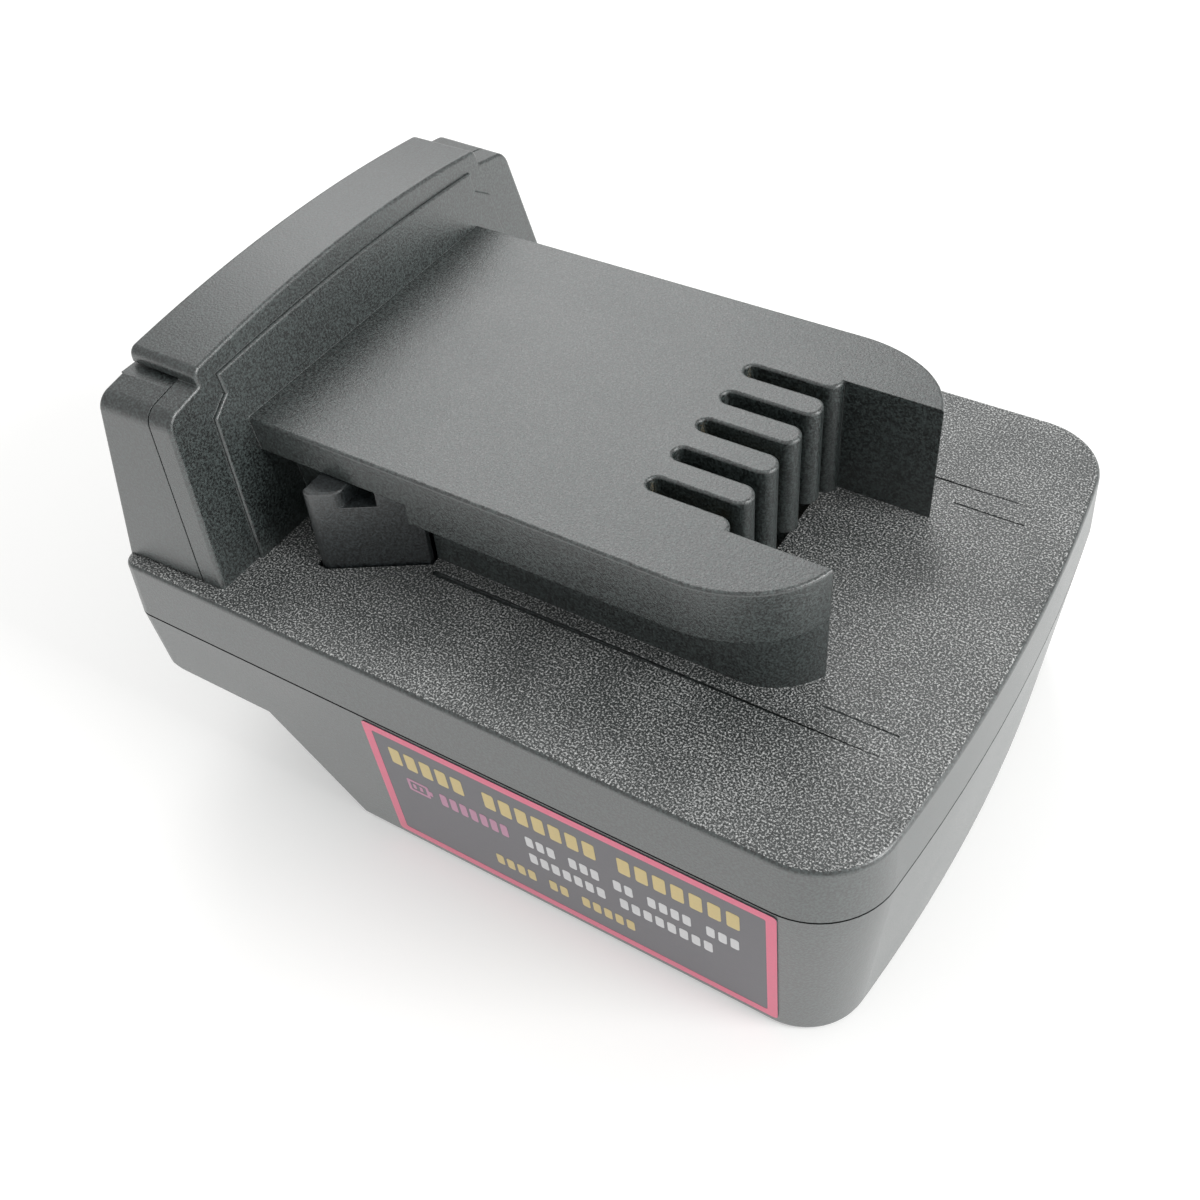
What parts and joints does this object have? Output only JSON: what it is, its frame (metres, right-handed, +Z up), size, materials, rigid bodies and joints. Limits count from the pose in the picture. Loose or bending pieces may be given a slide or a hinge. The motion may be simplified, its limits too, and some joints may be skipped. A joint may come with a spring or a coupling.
{
  "type": "tool battery adapter",
  "caption": "Adapter between a slide-on tool battery and a cordless tool: receptacle below, slotted rail on top, hump with side release buttons and sprung latches.",
  "frame": {"origin": "in the plane of the underside, below the middle of the body", "axes": "+X towards the slotted end of the rail that enters the tool, +Y left, +Z up; the label is on the right wall, at -Y"},
  "size_m": [0.104, 0.0797, 0.0623],
  "materials": {
    "housing_plastic": "fine spark-eroded grain, satin",
    "button_plastic": "fine grain, satin",
    "latch_plastic": "smooth moulded",
    "spring_steel": "drawn wire",
    "carrier_plastic": "smooth moulded",
    "block_plastic": "smooth moulded",
    "contact_brass": "stamped strip",
    "blade_brass": "tinned strip",
    "red_insulation": "extruded insulation",
    "black_insulation": "extruded insulation",
    "yellow_insulation": "extruded insulation",
    "resistor_coat": "glossy coat",
    "screw_steel": "dark zinc plate",
    "label_film": "printed film, satin laminate"
  },
  "bodies": {
    "root": {"upper_shell": "housing_plastic", "lower_shell": "housing_plastic", "latch_spring_right": "spring_steel", "latch_spring_left": "spring_steel", "contact_carrier": "carrier_plastic", "tool_contact_positive": "contact_brass", "tool_contact_negative": "contact_brass", "tool_contact_signal": "contact_brass", "terminal_block": "block_plastic", "battery_blade_positive": "blade_brass", "battery_blade_negative": "blade_brass", "battery_blade_signal": "blade_brass", "positive_lead": "red_insulation", "negative_lead": "black_insulation", "signal_lead": "yellow_insulation", "id_resistor": "resistor_coat", "housing_screws": "screw_steel", "carrier_screws": "screw_steel", "terminal_block_screws": "screw_steel", "side_label": "label_film"},
    "right_latch": {"release_button_right": "button_plastic", "latch_slider_right": "latch_plastic"},
    "left_latch": {"release_button_left": "button_plastic", "latch_slider_left": "latch_plastic"}
  },
  "joints": [
    {"name": "right_release", "type": "slide", "parent": "root", "child": "right_latch", "axis": [0, 1, 0], "range_m": [0, 0.0036], "stiffness_N_per_m": 600, "springref_m": -0.004, "deforming": ["latch_spring_right"]},
    {"name": "left_release", "type": "slide", "parent": "root", "child": "left_latch", "axis": [0, -1, 0], "range_m": [0, 0.0036], "stiffness_N_per_m": 600, "springref_m": -0.004, "deforming": ["latch_spring_left"]}
  ]
}
